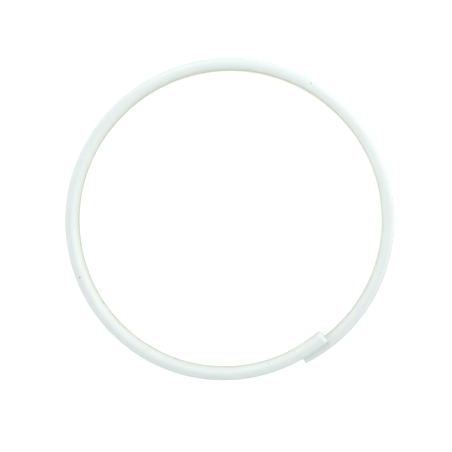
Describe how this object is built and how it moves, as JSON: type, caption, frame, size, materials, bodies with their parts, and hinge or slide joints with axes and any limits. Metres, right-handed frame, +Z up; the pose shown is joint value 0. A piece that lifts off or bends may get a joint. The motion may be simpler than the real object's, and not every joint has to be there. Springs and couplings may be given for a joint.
{
  "type": "rhythmic gymnastics hoop",
  "caption": "White plastic tube hoop, open with its ends lapped. The joining core in the upper end is inferred, not seen.",
  "frame": {"origin": "on the floor, in the middle of the lapped hoop's overall length and width", "axes": "+Z up, square to the hoop; the outer end's sawn face looks within a degree of -X at the -Y side, and the tube bends open about the +Y side"},
  "size_m": [0.4958, 0.4916, 0.0333],
  "materials": {
    "tube": "smooth satin white polypropylene, faintly milky",
    "core": "moulded white polypropylene, dull"
  },
  "bodies": {
    "outer_half": {"tube_outer_half": "tube"},
    "inner_half": {"tube_inner_half": "tube"},
    "core": {"joint_core": "core"}
  },
  "joints": [
    {"name": "tube_flex", "type": "hinge", "parent": "outer_half", "child": "inner_half", "pos_m": [-0.00205, 0.24585, 0.0095], "axis": [0, 0, -1], "range_deg": [0, 12], "stiffness_Nm_per_rad": 9},
    {"name": "core_slide", "type": "hinge", "parent": "inner_half", "child": "core", "pos_m": [-0.0104, 0.00518, 0.01706], "axis": [-0.0221, 0.0247, 0.9995], "range_deg": [0, 9.5]}
  ]
}
